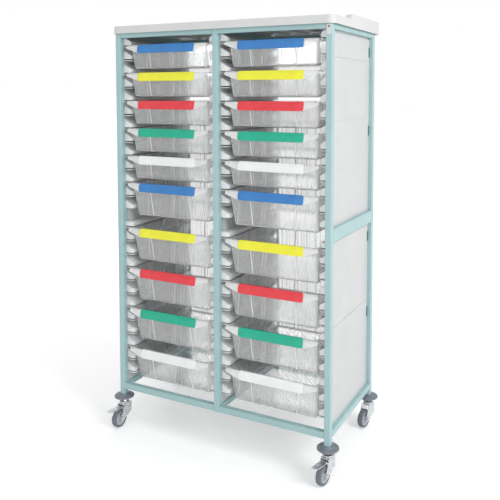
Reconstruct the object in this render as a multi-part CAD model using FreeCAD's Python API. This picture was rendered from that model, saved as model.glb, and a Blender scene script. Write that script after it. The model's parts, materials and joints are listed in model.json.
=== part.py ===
import FreeCAD, Part
import os
from math import acos, atan2, cos, hypot, radians, sin, sqrt, tan

# Classroom tray trolley: a welded steel frame on castors holds two columns of clear
# lift-out trays on moulded runner panels, under a moulded worktop.
# Units are mm. Z is up from the floor and the front faces -Y. The origin is on the
# floor, in the middle of the trolley's overall footprint.

# Clearances
seat_gap = 0.3
panel_gap = 0.5
running_gap = 0.05

# Cutters run this far past the faces that they open
overrun = 1.0

# Steel frame
tube = 25.0
tube_wall = 1.5
tube_corner = 2.5
post_tail = 25.0
mid_rail_height = 50.0

# Trays
tray_width = 400.0
tray_length = 450.0
tray_wall = 2.0
shallow_height = 100.0
deep_height = 145.0
rim_width = 8.0
rim_thickness = 2.5
rim_corner = 22.0
cup_corner = 18.0
cup_foot_radius = 14.0
side_draft = 3.0
front_draft = 12.0
front_wall_set = 8.0
divider_spacing = 193.0
divider_width = 3.0
divider_proud = 1.5

# Tray lip and label holder
label_width = 282.0
label_height = 32.5
label_thickness = 1.6
label_crease_drop = 10.0
label_crease_set = 6.5
label_foot_set = 9.0
label_hook = 6.0
label_cap = 8.0
lip_thickness = 2.2
wing_middle_reach = 36.0
wing_middle_height = 21.0
wing_tip_height = 13.0

# How the trays hang in the frame
column_gap = 28.75
front_set = 9.0
rear_gap = 36.0
ledge_pitch = 58.5
shallow_step = 2
deep_step = 3
shallow_rows = 5
lower_rows = 4
foot_clearance = 18.0
lower_head = 25.5
upper_foot = 2.0
upper_head = 32.0

# Runner panels
panel_wall = 3.0
panel_set = 5.0
ledge_reach = 6.5
ledge_round = 14.0
shelf_thickness = 2.5
hood_wall = 2.5
hood_gap = 3.0
hood_nose = 14.0
hood_height = 37.0
cover_wall = 3.0
cover_set = 14.0
band_proud = 2.0
band_corner = 12.0
band_edge = 14.0
upper_band_top = 10.0
upper_band_height = 88.0
lower_band_top = 338.0
lower_band_height = 74.0

# Panel clips and screws
clip_height = 42.0
clip_reach = 9.0
clip_thickness = 2.0
clip_tops = (40.0, 371.0)
screw_radius = 3.5
screw_head = 1.5
screw_inset = 16.0
screw_drop = 5.0

# Worktop
top_height = 31.0
top_lap = 7.0
top_wall = 4.0
top_plate = 4.0
top_recess = 6.0
top_corner = 28.0
top_edge_round = 4.0
top_lip = 24.0
side_overhang = 12.0
front_overhang = 10.0
rear_overhang = 40.0
gallery_height = 20.0
gallery_start = 140.0
gallery_ramp = 50.0
stiffener_wall = 3.0
stiffener_pitch = 95.0

# Corner tag
tag_width = 18.0
tag_height = 38.0
tag_thickness = 1.5
tag_round = 3.0
tag_hole = 3.5
tag_drop = 2.0

# Castors
wheel_radius = 38.0
tyre_width = 24.0
tyre_round = 6.0
tyre_thickness = 11.0
hub_width = 20.0
hub_boss_radius = 11.0
hub_recess = 5.0
hub_rim = 5.0
axle_radius = 4.0
axle_head_radius = 7.0
axle_head = 4.0
castor_trail = 34.0
fork_wall = 2.5
fork_side_gap = 4.0
fork_crown = 96.0
fork_half_length = 24.0
fork_lug = 11.0
fork_shoulder = 55.0
fork_front = 84.0
stem_radius = 6.0
stem_head_radius = 10.0
stem_head = 5.0
plug_height = 45.0
plug_gap = 0.2
race_radius = 21.0
race_height = 8.0
race_round = 2.5
nut_radius = 11.0
bumper_radius = 43.0
bumper_height = 15.0
bumper_rim = 7.0
bumper_round = 3.0
bumper_hub_radius = 20.0
post_bottom = 137.0
headings = {"front_left": -3.0, "front_right": -10.0, "rear_left": -7.0, "rear_right": -12.0}

# Brake pedals on the front castors
pedal_gap = 2.0
pedal_wall = 2.5
pedal_reach = 99.0
pedal_tip_z = 93.0
pedal_root = 14.0
pedal_root_z = 90.0
pedal_dip = 50.0
pedal_dip_z = 88.0
pedal_lip = 5.0
pedal_lug = 5.0
pivot_radius = 2.5
pivot_reach = 17.0
pivot_z = 82.0

# The tray stack sets the frame's height
bottom_rail_top = post_bottom + post_tail + tube
lowest_rim = bottom_rail_top + foot_clearance + deep_height
highest_lower_rim = lowest_rim + (lower_rows - 1) * deep_step * ledge_pitch
mid_rail_bottom = highest_lower_rim + lower_head
mid_rail_top = mid_rail_bottom + mid_rail_height
middle_rim = mid_rail_top + upper_foot + shallow_step * ledge_pitch
highest_rim = middle_rim + shallow_rows * shallow_step * ledge_pitch
top_rail_bottom = highest_rim + upper_head
post_top = top_rail_bottom + tube

# Tray columns and the frame's plan
opening = tray_width + 2 * column_gap
frame_width = 2 * opening + 3 * tube
column_x = (opening + tube) / 2
frame_depth = front_set + tray_length + rear_gap
post_x = (frame_width - tube) / 2
pedal_half = tyre_width / 2 + fork_side_gap - pedal_gap
pedal_turns = [radians(abs(headings[name])) for name in ("front_left", "front_right")]
front_reach = max(pedal_reach * cos(a) + pedal_half * sin(a) for a in pedal_turns)
footprint = front_reach - tube / 2 + frame_depth + rear_overhang
front_y = front_reach - tube / 2 - footprint / 2
rear_y = front_y + frame_depth
front_post_y = front_y + tube / 2
rear_post_y = rear_y - tube / 2

# Runner panels sit between the posts, a little outside the tray opening
panel_front = front_y + tube + panel_gap
panel_rear = rear_y - tube - panel_gap
ledge_width = column_gap + panel_set + ledge_reach
upper_web = mid_rail_top + seat_gap
lower_web = mid_rail_bottom - panel_gap - cover_wall

# Castor places by name
castor_places = {
    "front_left": (-post_x, front_post_y),
    "front_right": (post_x, front_post_y),
    "rear_left": (-post_x, rear_post_y),
    "rear_right": (post_x, rear_post_y),
}


def vec(x, y, z):
    return FreeCAD.Vector(x, y, z)


def box(low, high):
    size = [b - a for a, b in zip(low, high)]
    return Part.makeBox(*size, vec(*low))


def rod(radius, base, direction, length):
    return Part.makeCylinder(radius, length, vec(*base), vec(*direction))


def face_of(points):
    return Part.Face(Part.makePolygon([vec(*p) for p in points + points[:1]]))


def side_prism(points, x_from, x_to):
    """A prism along X from an outline of (y, z) points."""
    outline = [(x_from, y, z) for y, z in points]
    return face_of(outline).extrude(vec(x_to - x_from, 0, 0))


def plan_prism(points, z_from, z_to):
    """A prism along Z from an outline of (x, y) points."""
    outline = [(x, y, z_from) for x, y in points]
    return face_of(outline).extrude(vec(0, 0, z_to - z_from))


def edges_along(shape, direction, at=None):
    """The straight edges along a direction whose middle passes the test."""
    found = []
    for edge in shape.Edges:
        ends = [v.Point for v in edge.Vertexes]
        if len(ends) < 2 or edge.Curve.TypeId != "Part::GeomLine":
            continue
        run = ends[1].sub(ends[0]).normalize()
        middle = (ends[0] + ends[1]) * 0.5
        if abs(run.dot(vec(*direction))) > 0.999 and (at is None or at(middle)):
            found.append(edge)
    return found


def rounded_box(low, high, radius):
    """A box with its upright edges rounded."""
    block = box(low, high)
    return block.makeFillet(radius, edges_along(block, (0, 0, 1)))


def square_tube(low, high, direction):
    """A hollow tube between two corners, open at its ends."""
    outer = box(low, high)
    outer = outer.makeFillet(tube_corner, edges_along(outer, direction))
    walls = [0.0 if d else tube_wall for d in direction]
    inner = box([a + w for a, w in zip(low, walls)], [b - w for b, w in zip(high, walls)])
    return outer.cut(inner)


def write(name, solids):
    shape = solids[0] if len(solids) == 1 else Part.makeCompound(solids)
    shape.exportStep("parts/" + name + ".step")
    print(name, len(shape.Solids), "valid" if shape.isValid() else "INVALID")


# Frame


def posts():
    made = []
    for x in (-post_x, 0, post_x):
        for y in (front_post_y, rear_post_y):
            foot = post_bottom if x else bottom_rail_top - tube
            low = (x - tube / 2, y - tube / 2, foot)
            high = (x + tube / 2, y + tube / 2, post_top)
            made.append(square_tube(low, high, (0, 0, 1)))
    return made


def cross_rails():
    made = []
    for side in (-1, 1):
        ends = sorted((side * tube / 2, side * (tube / 2 + opening)))
        for y in (front_y, rear_y - tube):
            for z in (bottom_rail_top - tube, top_rail_bottom):
                low = (ends[0], y, z)
                high = (ends[1], y + tube, z + tube)
                made.append(square_tube(low, high, (1, 0, 0)))
    return made


def side_rails():
    levels = (
        (bottom_rail_top - tube, bottom_rail_top),
        (mid_rail_bottom, mid_rail_top),
        (top_rail_bottom, post_top),
    )
    made = []
    for x in (-post_x, 0, post_x):
        for z_low, z_high in levels:
            low = (x - tube / 2, front_y + tube, z_low)
            high = (x + tube / 2, rear_y - tube, z_high)
            made.append(square_tube(low, high, (0, 1, 0)))
    return made


# Worktop


def top_outline(inset, z_low, z_high):
    """The worktop's rounded plan, taken in by an inset."""
    half = frame_width / 2 + side_overhang - inset
    low = (-half, front_y - front_overhang + inset, z_low)
    high = (half, rear_y + rear_overhang - inset, z_high)
    return rounded_box(low, high, top_corner - inset)


def gallery_profile(z_base, z_top):
    """The side view of the raised rim, with an S-shaped ramp at its front."""
    y0 = front_y + gallery_start
    y1 = y0 + gallery_ramp
    y2 = rear_y + rear_overhang
    middle = vec(0, (y0 + y1) / 2, (z_base + z_top) / 2)
    low = vec(0, y0, z_base)
    high = vec(0, y1, z_top)
    quarter = gallery_ramp / 4
    sag = (z_top - z_base) / 8
    foot = Part.Arc(low, vec(0, y0 + quarter, z_base + sag), middle).toShape()
    crest = Part.Arc(middle, vec(0, y1 - quarter, z_top - sag), high).toShape()
    back = Part.makePolygon([high, vec(0, y2, z_top), vec(0, y2, z_base), low])
    return Part.Face(Part.Wire([foot, crest] + back.Edges))


def worktop():
    skirt_foot = post_top - top_lap
    surface = skirt_foot + top_height
    plate_top = surface - top_recess
    plate_foot = plate_top - top_plate
    body = top_outline(0, skirt_foot, surface)
    rim = [e for e in body.Edges if e.BoundBox.ZMin > surface - overrun]
    body = body.makeFillet(top_edge_round, rim)
    ring = top_outline(0, surface - top_edge_round, surface + gallery_height)
    width = frame_width + 2 * side_overhang
    profile = gallery_profile(surface - top_edge_round, surface + gallery_height)
    profile.translate(vec(-width / 2, 0, 0))
    gallery = ring.common(profile.extrude(vec(width, 0, 0)))
    body = body.fuse(gallery)
    body = body.cut(top_outline(top_lip, plate_top, surface + 2 * gallery_height))
    body = body.cut(top_outline(top_wall, skirt_foot - overrun, plate_foot))
    return body.fuse(stiffeners(plate_foot)).removeSplitter()


def stiffeners(plate_foot):
    """Ribs under the worktop that rest on the frame's top rails."""
    count = int((frame_width - 2 * tube) // stiffener_pitch)
    first = -(count - 1) / 2 * stiffener_pitch
    front = front_y - front_overhang + top_wall
    ribs = []
    for i in range(count):
        x = first + i * stiffener_pitch
        low = (x - stiffener_wall / 2, front, post_top + seat_gap)
        high = (x + stiffener_wall / 2, rear_y + rear_overhang - top_wall, plate_foot)
        ribs.append(box(low, high))
    return ribs


# Runner panels


def ledge_bar(section, inset, rear):
    """A (u, z) section run along Y, with u from the panel and a rounded front corner."""
    front = panel_front + inset
    bar = face_of([(u, front, z) for u, z in section]).extrude(vec(0, rear - front, 0))
    radius = ledge_round - inset
    bounds = bar.BoundBox
    low = (-radius - overrun, front, bounds.ZMin)
    high = (bounds.XMax, rear + radius, bounds.ZMax)
    return bar.common(rounded_box(low, high, radius))


def shelf():
    """The strip that a tray's rim slides on, with its top at Z = 0."""
    section = [(0, 0), (ledge_width, 0), (ledge_width, -shelf_thickness), (0, -shelf_thickness)]
    return ledge_bar(section, 0, panel_rear)


def hood_section(offset, headroom):
    """The outline of a hood over a slot, with its foot at Z = 0 and a sloping top."""
    nose = ledge_width - offset
    fall = (hood_height - hood_nose) / ledge_width
    top = hood_height - offset * sqrt(1 + fall * fall)
    roof = min(top, headroom - offset)
    outline = [(0, offset), (nose, offset), (nose, top - nose * fall)]
    if roof < top:
        outline.append(((top - roof) / fall, roof))
    return outline + [(0, roof)]


def hood(headroom):
    """A hollow hood, open at the panel and at its rear end."""
    outer = ledge_bar(hood_section(0, headroom), 0, panel_rear)
    return outer.cut(ledge_bar(hood_section(hood_wall, headroom), hood_wall, panel_rear + overrun))


def levels(first, lowest):
    """Heights from the first one down by the ledge pitch, none below the lowest."""
    count = int((first - lowest) // ledge_pitch) + 1
    return [first - i * ledge_pitch for i in range(count)]


def ledges(foot, head, first_rim):
    """A panel's shelves and hoods, for rims at the first level and below it."""
    made = []
    for z in levels(first_rim - rim_thickness - seat_gap, foot + shelf_thickness):
        made.append(shelf().translated(vec(0, 0, z)))
    for z in levels(first_rim + hood_gap, foot):
        made.append(hood(head - z).translated(vec(0, 0, z)))
    return made


def band(z_top, height):
    """A raised band on the panel's outer face, rounded at its rear corners."""
    low = (-panel_wall - band_proud, panel_front + band_edge, z_top - height)
    high = (-panel_wall, panel_rear - band_edge, z_top)
    block = box(low, high)
    rear = edges_along(block, (1, 0, 0), lambda p: p.y > 0)
    return block.makeFillet(band_corner, rear)


def rail_cover(web_foot, z_end):
    """A skin in front of the middle rail, with the web that joins it to its panel."""
    face = panel_set + seat_gap
    front = panel_front + cover_set
    rear = panel_rear - cover_set
    web = box((0, front, web_foot), (face + cover_wall, rear, web_foot + cover_wall))
    z_from, z_to = sorted((web_foot, z_end))
    return web.fuse(box((face, front, z_from), (face + cover_wall, rear, z_to)))


def runner_panel(z_low, z_high, cover):
    """A panel with its inner face on X = 0 and the tray side towards +X."""
    low = (-panel_wall, panel_front, z_low + seat_gap)
    panel = box(low, (0, panel_rear, z_high - panel_gap))
    extras = [band(z_high - upper_band_top, upper_band_height)]
    extras.append(band(z_high - lower_band_top, lower_band_height))
    return panel.fuse(extras + [cover]).removeSplitter()


def panel_pair():
    """The panels of one side of a tray opening, upper and lower."""
    seam = (mid_rail_bottom + mid_rail_top) / 2
    upper_cover = rail_cover(upper_web, seam + panel_gap / 2)
    lower_cover = rail_cover(lower_web, seam - panel_gap / 2)
    upper = runner_panel(mid_rail_top, top_rail_bottom, upper_cover)
    return [upper, runner_panel(bottom_rail_top, mid_rail_bottom, lower_cover)]


def ledge_stack():
    """All the shelves and hoods of one side of a tray opening."""
    upper = ledges(upper_web + cover_wall, top_rail_bottom - panel_gap, highest_rim)
    return upper + ledges(bottom_rail_top + seat_gap, lower_web, highest_lower_rim)


def beside_columns(solids):
    """Solids made for a panel at X = 0, set on both sides of both tray columns."""
    flipped = [solid.mirror(vec(0, 0, 0), vec(1, 0, 0)) for solid in solids]
    offset = opening / 2 + panel_set
    made = []
    for column in (-column_x, column_x):
        made += [solid.translated(vec(column - offset, 0, 0)) for solid in solids]
        made += [solid.translated(vec(column + offset, 0, 0)) for solid in flipped]
    return made


def panel_fixings():
    """Clips on the corner posts that trap the outer panels, and their screws."""
    made = []
    face = column_x + opening / 2 + panel_set + panel_wall + seat_gap
    for side in (-1, 1):
        for bay_top in (top_rail_bottom, mid_rail_bottom):
            for drop in clip_tops:
                for y in (front_y + tube, rear_y - tube - clip_reach):
                    xs = sorted((side * face, side * (face + clip_thickness)))
                    low = (xs[0], y, bay_top - drop - clip_height)
                    made.append(box(low, (xs[1], y + clip_reach, bay_top - drop)))
        screw_y = rear_y - tube - screw_inset
        head = (side * (face - seat_gap), screw_y, top_rail_bottom - screw_drop)
        made.append(rod(screw_radius, head, (side, 0, 0), screw_head))
    return made


# Trays


def cup_rect(depth, inset):
    """The tray cup's rectangle at a depth below the rim, taken in by an inset."""
    side = tray_width / 2 - rim_width - depth * tan(radians(side_draft)) - inset
    front = front_wall_set + depth * tan(radians(front_draft)) + inset
    rear = tray_length - rim_width - depth * tan(radians(side_draft)) - inset
    return [(-side, front), (side, front), (side, rear), (-side, rear)]


def tapered_block(z_top, z_foot, inset, corner, foot_radius):
    """A block with drafted sides, rounded at its corners and its foot."""
    wires = []
    for z in (z_foot, z_top):
        corners = [vec(x, y, z) for x, y in cup_rect(-z, inset)]
        wires.append(Part.makePolygon(corners + corners[:1]))
    block = Part.makeLoft(wires, True, True)
    upright = [e for e in block.Edges if abs(e.BoundBox.ZLength - (z_top - z_foot)) < 0.01]
    block = block.makeFillet(corner, upright)
    rim = [e for e in block.Edges if e.BoundBox.ZMax < z_foot + 0.01]
    return block.makeFillet(foot_radius, rim)


def lip_profile(height, shift):
    """A section of the lip as (y, z): its top, its crease and its foot."""
    slope = (label_foot_set - label_crease_set) / (label_height - label_crease_drop)
    crease_y = shift - label_crease_set
    foot_y = crease_y - slope * (height - label_crease_drop)
    return [(shift, 0), (crease_y, -label_crease_drop), (foot_y, -height)]


def lip_section(x, height):
    """A closed section of the lip across X, behind the label's thickness."""
    front = lip_profile(height, label_thickness + seat_gap)
    back = [(y + lip_thickness, z) for y, z in reversed(front)]
    points = [vec(x, y, z) for y, z in front + back]
    return Part.makePolygon(points + points[:1])


def tray_lip():
    """The lip's skirt: level behind the label, with wings that taper to the corners."""
    half = label_width / 2
    places = [(half, label_height), (half + wing_middle_reach, wing_middle_height)]
    places.append((tray_width / 2, wing_tip_height))
    ends = [(-x, height) for x, height in reversed(places)] + places
    wires = [lip_section(*end) for end in ends]
    return Part.makeLoft(wires, True, True)


def rim_plate():
    """The flange around the tray, with its rear corners rounded."""
    edge = tray_width / 2
    low = (-edge, label_thickness + seat_gap, -rim_thickness)
    plate = box(low, (edge, tray_length, 0))
    back = edges_along(plate, (0, 0, 1), lambda p: p.y > tray_length - overrun)
    return plate.makeFillet(rim_corner, back)


def divider_ribs(height):
    """Upright ribs on the front and rear walls that divider plates would slot against."""
    foot = height - cup_foot_radius
    front = front_wall_set + tray_wall
    front_foot = front + foot * tan(radians(front_draft))
    rear = tray_length - rim_width - tray_wall
    rear_foot = rear - foot * tan(radians(side_draft))
    lines = [((front, 0), (front_foot, -foot), divider_proud)]
    lines.append(((rear, 0), (rear_foot, -foot), -divider_proud))
    half = divider_width / 2
    ribs = []
    for top, low, proud in lines:
        root = -proud / 2
        outline = [(top[0] + root, 0), (low[0] + root, -foot)]
        outline += [(low[0] + proud, -foot), (top[0] + proud, 0)]
        for x in (-divider_spacing / 2, divider_spacing / 2):
            ribs.append(side_prism(outline, x - half, x + half))
    return ribs


def tray(height):
    """A clear tray: its rim's top is Z = 0, its front edge Y = 0."""
    outer = tapered_block(0, -height, 0, cup_corner, cup_foot_radius)
    inner_corner = cup_corner - tray_wall
    inner_foot = cup_foot_radius - tray_wall
    inner = tapered_block(overrun, tray_wall - height, tray_wall, inner_corner, inner_foot)
    body = outer.fuse([rim_plate(), tray_lip()])
    return body.cut(inner).fuse(divider_ribs(height)).removeSplitter()


def label_holder():
    """A strip that hooks over the lip's top and under its foot."""
    front = lip_profile(label_height, 0)
    foot_y = front[-1][0]
    under = -label_height - seat_gap
    inner = [(y + label_thickness, z) for y, z in reversed(front)]
    hook = [
        (foot_y, under - label_thickness),
        (foot_y + label_hook, under - label_thickness),
        (foot_y + label_hook, under),
        (foot_y + label_thickness, under),
    ]
    cap = [
        (label_thickness, seat_gap),
        (label_cap, seat_gap),
        (label_cap, seat_gap + label_thickness),
        (0, seat_gap + label_thickness),
    ]
    outline = front + hook + inner[:-1] + cap
    half = label_width / 2 - seat_gap
    return side_prism(outline, -half, half)


def tray_rows():
    """Each row's rim height and tray height, from the top down."""
    rows = []
    for i in range(shallow_rows):
        rows.append((highest_rim - i * shallow_step * ledge_pitch, shallow_height))
    rows.append((middle_rim, deep_height))
    for i in range(lower_rows):
        rows.append((highest_lower_rim - i * deep_step * ledge_pitch, deep_height))
    return rows


def write_trays():
    shapes = {height: tray(height) for height in (shallow_height, deep_height)}
    holder = label_holder()
    for side, column in (("left", -column_x), ("right", column_x)):
        for i, (rim, height) in enumerate(tray_rows()):
            place = vec(column, front_y + front_set, rim)
            number = "_%02d" % (i + 1)
            write("tray_" + side + number, [shapes[height].translated(place)])
            write("label_" + side + number, [holder.translated(place)])


# Castors: built with the stem on the Z axis and the wheel towards -Y


def revolved(points):
    """A solid turned about the Z axis from (radius, z) points."""
    outline = [(r, 0, z) for r, z in points]
    return face_of(outline).revolve(vec(0, 0, 0), vec(0, 0, 1), 360)


def bumper():
    """A soft disc with a raised hub that meets the post."""
    top = post_bottom - seat_gap
    foot = top - bumper_height
    shoulder = foot + bumper_rim
    outline = [(0, foot), (bumper_radius, foot), (bumper_radius, shoulder)]
    outline += [(bumper_hub_radius, top), (0, top)]
    disc = revolved(outline)
    rim = [e for e in disc.Edges if e.Closed and abs(e.Curve.Radius - bumper_radius) < 0.01]
    disc = disc.makeFillet(bumper_round, rim)
    return disc.cut(rod(stem_radius, (0, 0, foot), (0, 0, 1), bumper_height))


def castor_stem():
    """The plug in the post, its rod with a riveted foot, and the nut and ball race."""
    side = tube / 2 - tube_wall - plug_gap
    plug = box((-side, -side, post_bottom), (side, side, post_bottom + plug_height))
    foot = fork_crown - fork_wall - seat_gap - stem_head
    shaft = rod(stem_radius, (0, 0, foot), (0, 0, 1), post_bottom - foot)
    head = rod(stem_head_radius, (0, 0, foot), (0, 0, 1), stem_head)
    stem = plug.fuse([shaft, head])
    race_foot = fork_crown + seat_gap
    race = rod(race_radius, (0, 0, race_foot), (0, 0, 1), race_height)
    race = race.makeFillet(race_round, [e for e in race.Edges if e.Closed][:1])
    nut_foot = race_foot + race_height
    nut_top = post_bottom - seat_gap - bumper_height
    corners = [radians(60 * i) for i in range(6)]
    hexagon = [(nut_radius * cos(a), nut_radius * sin(a)) for a in corners]
    nut = plan_prism(hexagon, nut_foot, nut_top)
    bore = rod(stem_radius, (0, 0, 0), (0, 0, 1), post_bottom)
    return [stem, race.cut(bore), nut.cut(bore)]


def fork_inner():
    return tyre_width / 2 + fork_side_gap


def tangent_point(start, centre, radius, side):
    """Where a line from start touches a circle, on one side of it."""
    across = start[0] - centre[0]
    up = start[1] - centre[1]
    turn = atan2(up, across) + side * acos(radius / hypot(across, up))
    return (centre[0] + radius * cos(turn), centre[1] + radius * sin(turn))


def castor_fork():
    """A pressed fork: a crown plate and two legs that sweep forward to the axle."""
    half = fork_inner() + fork_wall
    axle_at = (-castor_trail, wheel_radius)
    shoulder = (fork_half_length, fork_shoulder)
    front = (-fork_half_length, fork_front)
    outline = [(fork_half_length, fork_crown), shoulder]
    outline += [tangent_point(shoulder, axle_at, fork_lug, -1), axle_at]
    outline += [tangent_point(front, axle_at, fork_lug, 1), front]
    outline.append((-fork_half_length, fork_crown))
    block = side_prism(outline, -half, half)
    crown = [e for e in edges_along(block, (0, 1, 0)) if e.BoundBox.ZMin > fork_crown - overrun]
    block = block.makeFillet(fork_wall, crown)
    block = block.fuse(rod(fork_lug, (-half, *axle_at), (1, 0, 0), 2 * half))
    inner = fork_inner()
    reach = castor_trail + wheel_radius
    gap = box((-inner, -reach, 0), (inner, reach, fork_crown - fork_wall))
    hole = rod(stem_radius + running_gap, (0, 0, 0), (0, 0, 1), fork_crown)
    bore = rod(axle_radius, (-half, *axle_at), (1, 0, 0), 2 * half)
    return block.cut([gap, hole, bore])


def axle():
    """The axle bolt and its nut, across the fork's legs."""
    half = fork_inner() + fork_wall
    trail = -castor_trail
    bolt = rod(axle_radius, (-half, trail, wheel_radius), (1, 0, 0), 2 * half)
    ends = []
    for x in (-half - axle_head, half):
        ends.append(rod(axle_head_radius, (x, trail, wheel_radius), (1, 0, 0), axle_head))
    return bolt.fuse(ends)


def along_axle(shape):
    """Turn a shape made about the Z axis onto the axle."""
    shape.rotate(vec(0, 0, 0), vec(0, 1, 0), 90)
    shape.translate(vec(0, -castor_trail, wheel_radius))
    return shape


def castor_wheel():
    half = tyre_width / 2
    inner = wheel_radius - tyre_thickness
    tyre = rod(wheel_radius, (0, 0, -half), (0, 0, 1), tyre_width)
    tyre = tyre.makeFillet(tyre_round, [e for e in tyre.Edges if e.Closed])
    tyre = tyre.cut(rod(inner, (0, 0, -half), (0, 0, 1), tyre_width))
    rim = inner - hub_rim
    face = hub_width / 2
    web = face - hub_recess
    boss = fork_inner() - seat_gap
    bore = axle_radius + running_gap
    outline = [(bore, -boss), (hub_boss_radius, -boss), (hub_boss_radius, -web), (rim, -web)]
    outline += [(rim, -face), (inner, -face), (inner, face), (rim, face)]
    outline += [(rim, web), (hub_boss_radius, web), (hub_boss_radius, boss), (bore, boss)]
    return [along_axle(tyre), along_axle(revolved(outline))]


def pivot_pin():
    """The pin across the fork's legs that carries the brake pedal."""
    inner = fork_inner()
    return rod(pivot_radius, (-inner, -pivot_reach, pivot_z), (1, 0, 0), 2 * inner)


def brake_pedal():
    """A foot pedal over the wheel, with lugs that turn on the fork's pivot pin."""
    half = pedal_half
    line = [(-pedal_root, pedal_root_z), (-pedal_dip, pedal_dip_z), (-pedal_reach, pedal_tip_z)]
    under = [(y, z - pedal_wall) for y, z in reversed(line)]
    plate = side_prism(line + under, -half, half)
    lip_low = (-half, -pedal_reach, pedal_tip_z - pedal_lip)
    lip = box(lip_low, (half, -pedal_reach + pedal_wall, pedal_tip_z))
    lugs = []
    for x in (-half, half - pedal_wall):
        lugs.append(rod(pedal_lug, (x, -pivot_reach, pivot_z), (1, 0, 0), pedal_wall))
        low = (x, -pivot_reach - pedal_lug, pivot_z)
        high = (x + pedal_wall, -pedal_root, pedal_root_z - pedal_wall / 2)
        lugs.append(box(low, high))
    bore_at = (-half, -pivot_reach, pivot_z)
    bore = rod(pivot_radius + running_gap, bore_at, (1, 0, 0), 2 * half)
    return plate.fuse([lip] + lugs).cut(bore).removeSplitter()


def placed(shapes, name, heading=0.0):
    """Move castor pieces to their post, turned to a heading."""
    x, y = castor_places[name]
    made = []
    for shape in shapes:
        copy = shape.copy()
        copy.rotate(vec(0, 0, 0), vec(0, 0, 1), heading)
        copy.translate(vec(x, y, 0))
        made.append(copy)
    return made


def write_castors():
    bumpers = []
    stems = []
    for name in castor_places:
        bumpers += placed([bumper()], name)
        stems += placed(castor_stem(), name)
        heading = headings[name]
        fork = [castor_fork(), axle()]
        if name.startswith("front"):
            fork.append(pivot_pin())
            write("brake_pedal_" + name, placed([brake_pedal()], name, heading))
        write("castor_fork_" + name, placed(fork, name, heading))
        write("castor_wheel_" + name, placed(castor_wheel(), name, heading))
    write("castor_bumpers", bumpers)
    write("castor_stems", stems)


def corner_tag():
    """A small plain tag with a key hole, on the front right post."""
    half = tag_width / 2
    top = post_top - top_lap - tag_drop
    low = (post_x - half, front_y - tag_thickness, top - tag_height)
    plate = box(low, (post_x + half, front_y, top))
    plate = plate.makeFillet(tag_round, edges_along(plate, (0, 1, 0)))
    hole_at = (post_x, front_y - tag_thickness, top - half)
    return plate.cut(rod(tag_hole, hole_at, (0, 1, 0), tag_thickness))


os.makedirs("parts", exist_ok=True)
write("frame_posts", posts())
write("cross_rails", cross_rails())
write("side_rails", side_rails())
write("worktop", [worktop()])
write("runner_panels", beside_columns(panel_pair()))
write("runner_ledges", beside_columns(ledge_stack()))
write("panel_fixings", panel_fixings())
write("corner_tag", [corner_tag()])
write_trays()
write_castors()
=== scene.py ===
import json
import math

import bmesh
import bpy
from mathutils import Matrix, Vector


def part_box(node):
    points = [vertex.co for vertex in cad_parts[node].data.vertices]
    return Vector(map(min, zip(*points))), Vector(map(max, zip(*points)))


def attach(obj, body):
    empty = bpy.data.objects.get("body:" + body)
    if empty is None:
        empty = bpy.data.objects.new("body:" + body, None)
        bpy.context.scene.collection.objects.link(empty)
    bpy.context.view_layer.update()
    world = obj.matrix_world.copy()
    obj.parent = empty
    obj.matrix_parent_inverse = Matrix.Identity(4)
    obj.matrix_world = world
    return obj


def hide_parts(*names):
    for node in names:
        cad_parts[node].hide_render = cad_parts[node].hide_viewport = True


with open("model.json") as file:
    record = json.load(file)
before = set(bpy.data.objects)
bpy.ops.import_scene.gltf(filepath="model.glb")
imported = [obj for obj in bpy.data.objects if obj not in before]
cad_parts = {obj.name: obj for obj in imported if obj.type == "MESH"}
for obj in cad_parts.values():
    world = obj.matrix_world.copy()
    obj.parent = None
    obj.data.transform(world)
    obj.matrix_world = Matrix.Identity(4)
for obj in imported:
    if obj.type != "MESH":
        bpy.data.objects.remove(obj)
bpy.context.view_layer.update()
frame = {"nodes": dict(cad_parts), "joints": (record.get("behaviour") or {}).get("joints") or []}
print("trolley frame loaded")


# Colour and node helpers

# Noise gathers around a half, so this part of it is stretched over the whole mix of two tones.
toneRange = (0.35, 0.65)


# From an sRGB hex value to linear red, green and blue, with an alpha of 1.
def toLinear(hexColour):
    channels = [int(hexColour[i:i + 2], 16) / 255 for i in (1, 3, 5)]
    return [c / 12.92 if c <= 0.04045 else ((c + 0.055) / 1.055) ** 2.4 for c in channels] + [1]


def emptyTree(owner):
    owner.use_nodes = True
    owner.node_tree.nodes.clear()
    return owner.node_tree


def addNode(tree, kind, settings, links=None):
    node = tree.nodes.new("ShaderNode" + kind)
    for name, value in settings.items():
        if isinstance(name, int) or name in node.inputs:
            node.inputs[name].default_value = value
        else:
            setattr(node, name, value)
    for name, source in (links or {}).items():
        output = source if hasattr(source, "is_output") else source.outputs[0]
        tree.links.new(output, node.inputs[name])
    return node


def perMetre(millimetres):
    return 1000 / millimetres


# Finishes: colours are sRGB, sizes are mm on the real thing

# Powder coat over steel tube: baked paint, even and semi-gloss, with a faint orange peel.
# The real peel is about 1 mm across and is drawn at 3 mm so that it shows.
powderCoat = {
    "name": "powderCoatedSteel", "colour": "#A5C5C6", "tone": "#9EBEC0", "toneSize": 180,
    "grainSize": 3, "grainDepth": 0.03, "roughness": (0.30, 0.42), "ior": 1.5,
}

# Worktop: thermoformed ABS sheet, white, with a fine leather-like grain and a dull sheen.
topAbs = {
    "name": "thermoformedWhiteAbs", "colour": "#D6D7D6", "tone": "#D1D2D1", "toneSize": 220,
    "grainSize": 2.5, "grainDepth": 0.05, "roughness": (0.42, 0.58), "ior": 1.53,
}

# Runner panels: injection-moulded polypropylene, pale grey and waxy, with slight flow marks.
panelPolypropylene = {
    "name": "mouldedPolypropylenePanel", "colour": "#CDCECE", "tone": "#C9CACB", "toneSize": 90,
    "grainSize": 2, "grainDepth": 0.03, "roughness": (0.36, 0.52), "ior": 1.49,
}

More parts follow.
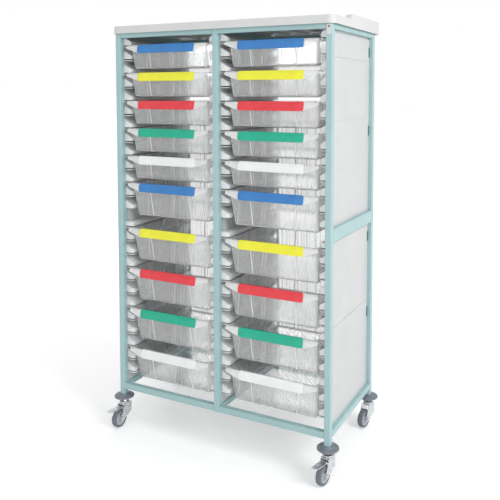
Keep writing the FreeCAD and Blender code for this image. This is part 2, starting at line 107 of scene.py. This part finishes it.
# Ledges: the same moulding with a shinier skin, painted paler than the panels as painted light for the
# shaded bays, where little light reaches.
ledgeLitPolypropylene = {
    "name": "paintedLightPolypropyleneLedge", "colour": "#EBECEC", "tone": "#E3E4E5", "toneSize": 60,
    "grainSize": 2, "grainDepth": 0.02, "roughness": (0.24, 0.38), "ior": 1.49,
}

# Clips: glass-filled nylon, dark teal, slightly rough from the fibres.
clipNylon = {
    "name": "mouldedNylonClip", "colour": "#47767C", "tone": "#3C676D", "toneSize": 12,
    "grainSize": 1.5, "grainDepth": 0.04, "roughness": (0.45, 0.6), "ior": 1.53,
}

# Castor forks and pedals: pressed steel with bright zinc plate, mottled and faintly blue.
zincPlate = {
    "name": "brightZincPlatedSteel", "colour": "#E4E6E8", "tone": "#B2B7BB", "toneSize": 7,
    "grainSize": 1.2, "grainDepth": 0.02, "roughness": (0.2, 0.36), "metallic": 1,
}

# Stems, races and nuts: turned steel with nickel plate, smoother and darker than the zinc.
nickelPlate = {
    "name": "nickelPlatedTurnedSteel", "colour": "#C4C5C6", "tone": "#B2B4B6", "toneSize": 5,
    "grainSize": 0.8, "grainDepth": 0.01, "roughness": (0.14, 0.26), "metallic": 1,
}

# Tyres: thermoplastic rubber, mid grey and dull, with a slightly dusty face.
tyreRubber = {
    "name": "greyThermoplasticRubberTyre", "colour": "#767C84", "tone": "#686E76", "toneSize": 14,
    "grainSize": 1.2, "grainDepth": 0.05, "roughness": (0.6, 0.78), "ior": 1.5,
}

# Wheel hubs: moulded polypropylene, lighter than the tyre.
hubPolypropylene = {
    "name": "mouldedPolypropyleneHub", "colour": "#C2C6C9", "tone": "#B4B8BC", "toneSize": 12,
    "grainSize": 1.2, "grainDepth": 0.02, "roughness": (0.38, 0.5), "ior": 1.49,
}

# Bumper discs: soft PVC, grey with a satin skin.
bumperPvc = {
    "name": "softGreyPvcBumper", "colour": "#7C828B", "tone": "#70767F", "toneSize": 20,
    "grainSize": 1.5, "grainDepth": 0.03, "roughness": (0.42, 0.56), "ior": 1.52,
}

# Keyhole shade: a nearly black, matt disc, painted shade that stands for the dark of the tag's key slot.
keyholeShadeRubber = {
    "name": "paintedKeyholeShade", "colour": "#202426", "tone": "#2A2E30", "toneSize": 3,
    "grainSize": 0.8, "grainDepth": 0.02, "roughness": (0.5, 0.7), "ior": 1.52,
}

# Label strips: injection-moulded ABS in school colours, glossy, with a faint drift of tone.
labelAbs = {
    "toneSize": 60, "grainSize": 2, "grainDepth": 0.015, "roughness": (0.26, 0.36), "ior": 1.53,
}
labelColours = {
    "blue": ("#3681C6", "#2F76BB"), "yellow": ("#F0EE3C", "#E8E530"), "red": ("#E63F49", "#DC343F"),
    "green": ("#0EB190", "#0AA686"), "white": ("#F1F3F3", "#E9EBEC"),
}

# Trays: clear moulded polystyrene. It lets most light through, and is painted milky white in the lip,
# along the two upright ribs and where a wall bends: painted highlights for the bright edges that light
# gives clear plastic there. The walls carry fine upright flow lines, about 4 mm apart on the real thing
# and drawn at 11 mm so that they show.
# lipFrom, columnAt and ribAt are places on the trolley. bendFrom and bendTo are how much of a face's
# direction is along one axis: 1 on a flat wall and less in a bend.
trayPolystyrene = {
    "name": "clearMouldedPolystyrene", "colour": "#FCFCFC", "tone": "#F5F7F7", "toneSize": 70,
    "grainSize": 4, "grainDepth": 0.03, "roughness": (0.05, 0.14), "ior": 1.59,
    "clear": 0.84, "milky": 0.12, "lipFrom": -215.5, "lipHighlightHaze": 0.66,
    "columnAt": 241.25, "ribAt": 96.5, "ribHalf": 1.7,
    "bendFrom": 0.97, "bendTo": 0.78, "bendHighlightHaze": 0.7,
    "streakSize": 11, "streakDepth": 0.2, "streakFrom": 0.5, "streakTo": 0.75, "streakHaze": 0.34,
}


# Painted highlight: how milky the clear plastic is painted at each place, standing in for the bright
# edges that light gives in the lip, ribs and bends: 0 is clear and 1 is the milkiest.
def paintedHighlightHaze(tree, look, place):
    parts = addNode(tree, "SeparateXYZ", {}, {0: place})
    lip = {"operation": "LESS_THAN", 1: look["lipFrom"] / 1000}
    lip = addNode(tree, "Math", lip, {0: parts.outputs["Y"]})
    lip = addNode(tree, "Math", {"operation": "MULTIPLY", 1: look["lipHighlightHaze"]}, {0: lip})
    fromMiddle = addNode(tree, "Math", {"operation": "ABSOLUTE"}, {0: parts.outputs["X"]})
    inColumn = {"operation": "SUBTRACT", 1: look["columnAt"] / 1000}
    inColumn = addNode(tree, "Math", inColumn, {0: fromMiddle})
    fromColumn = addNode(tree, "Math", {"operation": "ABSOLUTE"}, {0: inColumn})
    band = {"operation": "COMPARE", 1: look["ribAt"] / 1000, 2: look["ribHalf"] / 1000}
    rib = addNode(tree, "Math", band, {0: fromColumn})
    normal = addNode(tree, "NewGeometry", {}).outputs["Normal"]
    facing = addNode(tree, "VectorMath", {"operation": "ABSOLUTE"}, {0: normal})
    facing = addNode(tree, "SeparateXYZ", {}, {0: facing})
    flat = {0: facing.outputs["X"], 1: facing.outputs["Y"]}
    flat = addNode(tree, "Math", {"operation": "MAXIMUM"}, flat)
    flat = addNode(tree, "Math", {"operation": "MAXIMUM"}, {0: flat, 1: facing.outputs["Z"]})
    bend = {"From Min": look["bendFrom"], "From Max": look["bendTo"], "To Max": look["bendHighlightHaze"]}
    most = addNode(tree, "MapRange", bend, {"Value": flat})
    for other in (lip, rib):
        most = addNode(tree, "Math", {"operation": "MAXIMUM"}, {0: most, 1: other})
    return most


def makeFinish(look):
    material = bpy.data.materials.new(look["name"])
    tree = emptyTree(material)
    place = addNode(tree, "TexCoord", {}).outputs["Object"]
    tone = {"Scale": perMetre(look["toneSize"]), "Detail": 4}
    tone = addNode(tree, "TexNoise", tone, {"Vector": place})
    spread = {"From Min": toneRange[0], "From Max": toneRange[1]}
    spread = addNode(tree, "MapRange", spread, {"Value": tone})
    # The mix takes its two colours in sockets 6 and 7 and gives its colour in output 2.
    colours = {"data_type": "RGBA", 6: toLinear(look["colour"]), 7: toLinear(look["tone"])}
    colour = addNode(tree, "Mix", colours, {0: spread}).outputs[2]
    grain = {"Scale": perMetre(look["grainSize"]), "Detail": 3}
    grain = addNode(tree, "TexNoise", grain, {"Vector": place})
    low, high = look["roughness"]
    rough = addNode(tree, "MapRange", {"To Min": low, "To Max": high}, {"Value": grain})
    height = addNode(tree, "Math", {"operation": "MULTIPLY", 1: look["grainDepth"]}, {0: grain})
    body = {"Metallic": look.get("metallic", 0)}
    if "ior" in look:
        body["IOR"] = look["ior"]
    links = {"Base Color": colour, "Roughness": rough}
    if "clear" in look:
        parts = addNode(tree, "SeparateXYZ", {}, {0: place})
        around = {0: parts.outputs["X"], 1: parts.outputs["Y"]}
        around = addNode(tree, "Math", {"operation": "ADD"}, around)
        lines = {"noise_dimensions": "1D", "Scale": perMetre(look["streakSize"]), "Detail": 3}
        streak = addNode(tree, "TexNoise", lines, {"W": around})
        raised = {"operation": "MULTIPLY_ADD", 1: look["streakDepth"]}
        height = addNode(tree, "Math", raised, {0: streak, 2: height})
        pale = {
            "From Min": look["streakFrom"], "From Max": look["streakTo"],
            "To Max": look["streakHaze"],
        }
        pale = addNode(tree, "MapRange", pale, {"Value": streak})
        # The haze is the flow lines together with the painted highlight of the lip, ribs and bends.
        haze = {0: pale, 1: paintedHighlightHaze(tree, look, place)}
        haze = addNode(tree, "Math", {"operation": "MAXIMUM"}, haze)
        clear = {"To Min": look["clear"], "To Max": look["milky"]}
        links["Transmission Weight"] = addNode(tree, "MapRange", clear, {"Value": haze})
    bump = {"Distance": 0.001, "Strength": 1}  # so a depth of 1 is a millimetre
    links["Normal"] = addNode(tree, "Bump", bump, {"Height": height})
    shader = addNode(tree, "BsdfPrincipled", body, links)
    addNode(tree, "OutputMaterial", {}, {"Surface": shader})
    return material


# The runner ledges take a paler copy of the panel finish, as painted light.
nodeFinishes = {
    "frame_posts": powderCoat, "cross_rails": powderCoat, "side_rails": powderCoat,
    "worktop": topAbs, "corner_tag": topAbs, "runner_panels": panelPolypropylene,
    "runner_ledges": ledgeLitPolypropylene, "panel_fixings": clipNylon, "castor_stems": nickelPlate,
}


def dress(piece, material):
    piece.data.materials.clear()
    piece.data.materials.append(material)


finishes = {}


def finishFor(look):
    if look["name"] not in finishes:
        finishes[look["name"]] = makeFinish(look)
    return finishes[look["name"]]


labelFinishes = {}
for name, (colour, tone) in labelColours.items():
    own = {"name": name + "MouldedAbsLabel", "colour": colour, "tone": tone}
    labelFinishes[name] = makeFinish({**labelAbs, **own})

for nodeName, look in nodeFinishes.items():
    dress(frame["nodes"][nodeName], finishFor(look))
for nodeName, piece in frame["nodes"].items():
    if nodeName.startswith("tray_"):
        dress(piece, finishFor(trayPolystyrene))
    elif nodeName.startswith("castor_fork_"):
        dress(piece, finishFor(zincPlate))
print("finishes on the frame, panels and trays")


# Shapes shared by the pieces below: meshes are drawn in metres around a piece's own origin

castorCorners = ("front_left", "front_right", "rear_left", "rear_right")
longestCut = 0.45  # the most of a side that one rounded corner takes, so that two never meet
weldDistance = 1e-6
sharpAngle = 38  # degrees


# A point on the curve that rounds a corner, from 0 at its start to 1 at its end.
def bent(start, corner, end, t):
    return start * (1 - t) ** 2 + corner * 2 * t * (1 - t) + end * t ** 2


def toward(corner, neighbour, radius):
    side = Vector(neighbour) - corner
    return corner + side.normalized() * min(radius, side.length * longestCut)


def softLoop(points, radius, steps=4):
    rounded = []
    for i, point in enumerate(points):
        corner = Vector(point)
        start = toward(corner, points[i - 1], radius)
        end = toward(corner, points[(i + 1) % len(points)], radius)
        rounded += [bent(start, corner, end, k / steps) for k in range(steps + 1)]
    return rounded


def addObject(name, data):
    made = bpy.data.objects.new(name, data)
    bpy.context.scene.collection.objects.link(made)
    return made


def meshPiece(name, shape, finish, body, place, replaces=()):
    bmesh.ops.remove_doubles(shape, verts=shape.verts, dist=weldDistance)
    bmesh.ops.recalc_face_normals(shape, faces=shape.faces)
    mesh = bpy.data.meshes.new(name)
    shape.to_mesh(mesh)
    shape.free()
    mesh.shade_smooth()
    mesh.set_sharp_from_angle(angle=math.radians(sharpAngle))
    mesh.materials.append(finish)
    piece = addObject(name, mesh)
    piece.matrix_world = place
    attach(piece, body)
    for node in replaces:
        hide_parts(node)
    return piece


def lathe(shape, loop, segments=72):
    rings = []
    for step in range(segments):
        angle = math.tau * step / segments
        rings.append([shape.verts.new((x, r * math.cos(angle), r * math.sin(angle))) for r, x in loop])
    for near, far in zip(rings, rings[1:] + rings[:1]):
        for i in range(len(loop)):
            j = (i + 1) % len(loop)
            shape.faces.new((near[i], near[j], far[j], far[i]))


def joinRows(shape, rows):
    for near, far in zip(rows, rows[1:]):
        for i in range(len(near) - 1):
            shape.faces.new((near[i], near[i + 1], far[i + 1], far[i]))


def prismAlongX(shape, outline, low, high):
    near = [shape.verts.new((low, y, z)) for y, z in outline]
    far = [shape.verts.new((high, y, z)) for y, z in outline]
    shape.faces.new(near)
    shape.faces.new(list(reversed(far)))
    for i in range(len(outline)):
        j = (i + 1) % len(outline)
        shape.faces.new((near[i], far[i], far[j], near[j]))


def mirrored(half):
    return half + [(r, -x) for r, x in reversed(half)]


def inMetres(points):
    return [tuple(value / 1000 for value in point) for point in points]


def jointOf(name):
    return next(j for j in frame["joints"] if j["name"] == name)


def placeOf(joint):
    axis = joint["axis"]
    turn = Matrix.Rotation(math.atan2(axis[1], axis[0]), 4, "Z")
    return Matrix.Translation(joint["pos_m"]) @ turn


# Wheels: a rubber tyre with a crowned tread on a ribbed hub. Points are (radius, across) in mm.

wheel = {
    "tyreHalf": [(27, 10.6), (29, 11.9), (33.5, 12), (36.4, 10.4), (37.7, 7), (38, 2.5)],
    "tyreRound": 1.2,
    "hubHalf": [(4.05, 15.6), (8.5, 15.6), (10.6, 13.5), (11, 5.5), (21.5, 5.5), (22.5, 9.6),
                (24, 10.3), (27, 10.3)],
    "hubRound": 0.6, "hubSteps": 3,
    "ribs": 6, "ribThickness": 2.2, "ribFrom": 10, "ribTo": 22, "ribHalf": 8.6,
}


def makeWheels():
    low, high = wheel["ribFrom"] / 1000, wheel["ribTo"] / 1000
    reach, wide = wheel["ribHalf"] / 1000, wheel["ribThickness"] / 1000
    for corner in castorCorners:
        place = placeOf(jointOf("wheel_roll_" + corner))
        node = "castor_wheel_" + corner
        tyre = bmesh.new()
        lathe(tyre, softLoop(inMetres(mirrored(wheel["tyreHalf"])), wheel["tyreRound"] / 1000))
        meshPiece("tyre_" + corner, tyre, finishFor(tyreRubber), "wheel_" + corner, place, [node])
        hub = bmesh.new()
        outline = inMetres(mirrored(wheel["hubHalf"]))
        lathe(hub, softLoop(outline, wheel["hubRound"] / 1000, wheel["hubSteps"]))
        for step in range(wheel["ribs"]):
            angle = math.tau * step / wheel["ribs"]
            along = Vector((math.cos(angle), math.sin(angle)))
            across = Vector((-math.sin(angle), math.cos(angle))) * wide / 2
            near, far = along * low, along * high
            outline = [near - across, far - across, far + across, near + across]
            prismAlongX(hub, outline, -reach, reach)
        meshPiece("hub_" + corner, hub, finishFor(hubPolypropylene), "wheel_" + corner, place, [node])
    print("wheels made")


# Bumper discs: soft saucers under the posts. Points are (radius, height over the disc's foot) in mm.

bumperDisc = {
    "loop": [(6.2, 0.2), (17, 0.2), (20, 2.4), (36, 2.4), (40, 0.2), (42.4, 1.2), (42.9, 4), (41.4, 6.8),
             (36, 8.2), (26, 10.4), (20.5, 13), (19.5, 14.7), (6.2, 14.7)],
    "round": 1.2, "segments": 96,
}


def makeBumpers():
    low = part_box("castor_bumpers")[0]
    for corner in castorCorners:
        x, y, _ = jointOf("castor_swivel_" + corner)["pos_m"]
        disc = bmesh.new()
        outline = softLoop(inMetres(bumperDisc["loop"]), bumperDisc["round"] / 1000)
        lathe(disc, outline, bumperDisc["segments"])
        place = Matrix.Translation((x, y, low.z)) @ Matrix.Rotation(math.radians(-90), 4, "Y")
        meshPiece("bumper_" + corner, disc, finishFor(bumperPvc), "frame", place, ["castor_bumpers"])
    print("bumpers made")


# Brake pedals: pressed plates with turned-down sides, treads near the tip and two pivot lugs.
# The path and the pivot are (back from the stem, height from the floor) in mm, so that forward is
# negative, and the lip is (beyond the tip, down from it).

pedal = {
    "path": [(-14.5, 89.8), (-32, 88.2), (-50, 87.6), (-70, 89), (-88, 91.6), (-97.5, 92.8)],
    "steps": 84, "half": 14, "flange": 4.2, "wall": 1.8,
    "edge": 1.6, "edgeSoft": 0.3, "flatHalf": 10, "flatStep": 4,
    "tipRound": 9, "tipWidth": 0.62, "lip": [(0.9, 1.0), (1.3, 2.4), (1.3, 4.6)], "lipHalf": 7.5,
    "treads": (-72, -78, -84, -90), "treadHeight": 0.8, "treadWidth": 1.4, "treadSet": 3,
    "pivot": (-17, 82), "lugRadius": 5, "lugWall": 2.4, "lugTop": [(-14.5, 86), (-14.5, 88), (-24, 87)],
}


def smoothPath(points, count):
    path = []
    last = len(points) - 1
    for step in range(count + 1):
        at = step / count * last
        i = min(int(at), last - 1)
        t = at - i
        p0, p1, p2, p3 = (Vector(points[max(0, min(last, k))]) for k in (i - 1, i, i + 1, i + 2))
        square = (2 * p0 - 5 * p1 + 4 * p2 - p3) * t * t
        cube = (3 * p1 - p0 - 3 * p2 + p3) * t ** 3
        path.append(0.5 * (2 * p1 + (p2 - p0) * t + square + cube))
    return path


# How much of its full width the plate keeps: it narrows to a rounded tip.
def widthAt(toTip):
    if toTip >= pedal["tipRound"]:
        return 1
    bow = math.sqrt(max(0, 1 - (1 - toTip / pedal["tipRound"]) ** 2))
    return pedal["tipWidth"] + (1 - pedal["tipWidth"]) * bow


def pedalGrid(shape):
    half, flange, edge = pedal["half"], pedal["flange"], pedal["edge"]
    soft = edge * pedal["edgeSoft"]
    across = [(-half, -flange), (-half, -edge), (-half + soft, -soft), (-half + edge, 0)]
    flats = [(x, 0) for x in range(-pedal["flatHalf"], pedal["flatHalf"] + 1, pedal["flatStep"])]
    across += flats + [(-x, z) for x, z in reversed(across)]
    tipY = pedal["path"][-1][0]
    rows = []
    for y, z in smoothPath(pedal["path"], pedal["steps"]):
        tread = sum(math.exp(-((y - at) / pedal["treadWidth"]) ** 2) for at in pedal["treads"])
        narrow = widthAt(y - tipY)
        row = []
        for x, drop in across:
            rise = tread * pedal["treadHeight"] if abs(x) < half - pedal["treadSet"] else 0
            row.append(shape.verts.new((x * narrow / 1000, y / 1000, (z + drop + rise) / 1000)))
        rows.append(row)
    tip = [v.co.copy() for v in rows[-1]]
    for reach, drop in pedal["lip"]:
        row = []
        for place in tip:
            fall = drop if abs(place.x) < pedal["lipHalf"] / 1000 else 0
            row.append(shape.verts.new((place.x, (tipY - reach) / 1000, place.z - fall / 1000)))
        rows.append(row)
    joinRows(shape, rows)


def lugOutline():
    middle, height = pedal["pivot"]
    radius = pedal["lugRadius"]
    turns = [math.radians(degrees) for degrees in range(180, 361, 10)]  # the round lower half
    foot = [(middle + radius * math.cos(turn), height + radius * math.sin(turn)) for turn in turns]
    return inMetres(foot + pedal["lugTop"])


def makePedals():
    half, inner = pedal["half"], pedal["half"] - pedal["lugWall"]
    for corner in ("front_left", "front_right"):
        joint = jointOf("brake_pedal_hinge_" + corner)
        x, y, _ = jointOf("castor_swivel_" + corner)["pos_m"]
        turn = placeOf(joint).to_euler().z
        place = Matrix.Translation((x, y, 0)) @ Matrix.Rotation(turn, 4, "Z")
        finish, body, nodes = finishFor(zincPlate), "pedal_" + corner, ["brake_pedal_" + corner]
        plate = bmesh.new()
        pedalGrid(plate)
        piece = meshPiece("pedal_" + corner, plate, finish, body, place, nodes)
        skin = piece.modifiers.new("pressedSheet", "SOLIDIFY")
        skin.thickness, skin.offset = pedal["wall"] / 1000, -1
        lugs = bmesh.new()
        for low, high in ((-half, -inner), (inner, half)):
            prismAlongX(lugs, lugOutline(), low / 1000, high / 1000)
        meshPiece("pedal_lugs_" + corner, lugs, finish, body, place, nodes)
    print("brake pedals made")


# Label strips: each hooks over a tray's lip, with a softened crease and rounded ends.
# The outline runs from the cap to the hook, as (back, up) in mm from the cap's fold. The fold is
# capReach in front of the label's rear edge and capTop under its top.

label = {
    "rowColours": ("blue", "yellow", "red", "green", "white") * 2,
    "outline": [(7.6, 1.1), (0.4, 1.1), (-5.7, -10.2), (-8.1, -33.2), (-3.6, -33.2)],
    "bend": 0.9, "bendEase": 0.6, "half": 140.6, "across": (-120, -80, -40, 0, 40, 80, 120),
    "wall": 1.5, "endRadius": 7, "endSteps": 8, "capReach": 8, "capTop": 1.9,
}


# Rounds the inner corners of an open line, with a point on each side that keeps the flats flat.
def openBends(points, reach, ease, steps=4):
    line = [Vector(points[0])]
    for before, corner, after in zip(points, points[1:], points[2:]):
        corner = Vector(corner)
        start = corner + (Vector(before) - corner).normalized() * reach
        end = corner + (Vector(after) - corner).normalized() * reach
        line.append(start + (start - corner) * ease)
        line += [bent(start, corner, end, k / steps) for k in range(steps + 1)]
        line.append(end + (end - corner) * ease)
    return line + [Vector(points[-1])]


def lineAtHeight(line, height):
    for upper, lower in zip(line, line[1:]):
        if upper.y > lower.y and upper.y >= height >= lower.y:
            return upper.lerp(lower, (upper.y - height) / (upper.y - lower.y))


# Points within the cut gather at its edge, so that every column has the same number of points.
def clippedLine(line, cut):
    if cut == 0:
        return line
    high, low = line[0].y - cut, line[-1].y + cut
    top, foot = lineAtHeight(line, high), lineAtHeight(line, low)
    return [top if p.y >= high else foot if p.y <= low else p for p in line]


# Places along the strip, each with how much the rounded end cuts off its height there, in mm.
def labelColumns():
    radius, half, steps = label["endRadius"], label["half"], label["endSteps"]
    ends = [math.pi / 2 * k / steps for k in range(steps)]
    ends = [(-half + radius * (1 - math.cos(angle)), radius * (1 - math.sin(angle))) for angle in ends]
    ends.append((-half + radius, 0))
    return ends + [(x, 0) for x in label["across"]] + [(-x, cut) for x, cut in reversed(ends)]


def makeLabels():
    line = openBends(label["outline"], label["bend"], label["bendEase"])
    lines = [(x, clippedLine(line, cut)) for x, cut in labelColumns()]
    back, down = label["capReach"] / 1000, label["capTop"] / 1000
    for side in ("left", "right"):
        for row, colour in enumerate(label["rowColours"], 1):
            number = f"{side}_{row:02d}"
            node, finish = "label_" + number, labelFinishes[colour]
            low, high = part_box(node)
            place = Matrix.Translation(((low.x + high.x) / 2, high.y - back, high.z - down))
            strip = bmesh.new()
            rows = []
            for x, points in lines:
                rows.append([strip.verts.new((x / 1000, p.x / 1000, p.y / 1000)) for p in points])
            joinRows(strip, rows)
            piece = meshPiece("strip_" + number, strip, finish, "tray_" + number, place, [node])
            skin = piece.modifiers.new("mouldedWall", "SOLIDIFY")
            skin.thickness, skin.offset = label["wall"] / 1000, 0
    print("label strips made")


# The tag's key slot: a dark disc set in the tag's hole, as painted shade for the dark of the slot.
# Points are (radius, out of the tag) in mm, and below is how far its middle is under the tag's top.

keyholeShade = {
    "loop": [(0, 0.2), (2.2, 0.2), (2.6, 1.15), (3.4, 1.15), (3.4, 0.1), (0, 0.1)],
    "segments": 32, "below": 9,
}


def makeKeyholeShade():
    low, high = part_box("corner_tag")
    ring = bmesh.new()
    lathe(ring, inMetres(keyholeShade["loop"]), keyholeShade["segments"])
    middle = ((low.x + high.x) / 2, high.y, high.z - keyholeShade["below"] / 1000)
    place = Matrix.Translation(middle) @ Matrix.Rotation(math.radians(-90), 4, "Z")
    meshPiece("tag_keyholeShade", ring, finishFor(keyholeShadeRubber), "frame", place)
    print("tag grommet made")


makeWheels()
makeBumpers()
makePedals()
makeLabels()
makeKeyholeShade()


# Floor, light and camera: metres, watts and degrees, with the lens and sensor in mm

# The floor glows more with distance, so that it fades to white and keeps the shadow near the trolley.
studio = {
    "floorColour": "#FAFAFA", "floorSize": 60,
    "glowFrom": 0.6, "glowReach": 3.2, "glowNear": 0.26, "glowFar": 0.46,
    "worldStrength": 0.66, "bounces": 24,
}

# The back light also shines through the clear trays of the upper rows.
lamps = {
    "keyLight": {"place": (4.4, -1.3, 3.2), "size": 2.2, "power": 115},
    "fillLight": {"place": (0.5, -5.2, 2.1), "size": 2.6, "power": 40},
    "backLight": {"place": (-2.35, 4.6, 2.45), "size": 1.6, "power": 16},
}
lampAim = (0, 0, 0.9)

productCamera = {
    "place": (1.3558, -2.4002, 1.4485), "turn": (86.57, -0.06, 26.18),
    "lens": 46.5, "sensor": 36, "shift": (-0.0597, -0.233),
}


def areaLight(name, look):
    lamp = bpy.data.lights.new(name, "AREA")
    lamp.energy, lamp.size = look["power"], look["size"]
    holder = addObject(name, lamp)
    holder.location = look["place"]
    toAim = Vector(lampAim) - Vector(look["place"])
    holder.rotation_euler = toAim.to_track_quat("-Z", "Y").to_euler()


# 1 for what is seen directly, in a reflection or through clear plastic, and 0 for light on things.
def seenRays(tree):
    path = addNode(tree, "LightPath", {})
    seen = path.outputs["Is Camera Ray"]
    for ray in ("Is Glossy Ray", "Is Transmission Ray"):
        seen = addNode(tree, "Math", {"operation": "MAXIMUM"}, {0: seen, 1: path.outputs[ray]})
    return seen


def makeFloor():
    mesh = bpy.data.meshes.new("studioFloor")
    half = studio["floorSize"] / 2
    corners = [(-half, -half, 0), (half, -half, 0), (half, half, 0), (-half, half, 0)]
    mesh.from_pydata(corners, [], [(0, 1, 2, 3)])
    floor = addObject("studioFloor", mesh)
    material = bpy.data.materials.new("seamlessStudioPaper")
    tree = emptyTree(material)
    paper = addNode(tree, "BsdfDiffuse", {"Color": toLinear(studio["floorColour"])})
    place = addNode(tree, "TexCoord", {}).outputs["Object"]
    reach = addNode(tree, "VectorMath", {"operation": "LENGTH"}, {0: place}).outputs["Value"]
    spread = {
        "From Min": studio["glowFrom"], "From Max": studio["glowReach"],
        "To Min": studio["glowNear"], "To Max": studio["glowFar"],
    }
    spread = addNode(tree, "MapRange", spread, {"Value": reach})
    glow = addNode(tree, "Math", {"operation": "MULTIPLY"}, {0: seenRays(tree), 1: spread})
    shine = addNode(tree, "Emission", {}, {"Strength": glow})
    both = addNode(tree, "AddShader", {}, {0: paper, 1: shine})
    addNode(tree, "OutputMaterial", {}, {"Surface": both})
    mesh.materials.append(material)


# The world looks pure white, and gives less light than it shows.
def makeWorld():
    world = bpy.data.worlds.new("studioWorld")
    tree = emptyTree(world)
    strength = {"To Min": studio["worldStrength"]}
    strength = addNode(tree, "MapRange", strength, {"Value": seenRays(tree)})
    light = addNode(tree, "Background", {"Color": (1, 1, 1, 1)}, {"Strength": strength})
    addNode(tree, "OutputWorld", {}, {"Surface": light})
    bpy.context.scene.world = world


def makeCamera():
    lens = bpy.data.cameras.new("productCamera")
    lens.lens, lens.sensor_width = productCamera["lens"], productCamera["sensor"]
    lens.shift_x, lens.shift_y = productCamera["shift"]
    camera = addObject("productCamera", lens)
    camera.location = productCamera["place"]
    camera.rotation_euler = [math.radians(angle) for angle in productCamera["turn"]]
    bpy.context.scene.camera = camera


makeFloor()
makeWorld()
makeCamera()
for name, look in lamps.items():
    areaLight(name, look)
scene = bpy.context.scene
scene.view_settings.view_transform = "Standard"
# Light crosses many tray walls on its way through a column.
scene.cycles.max_bounces = scene.cycles.transmission_bounces = studio["bounces"]
print("studio ready")
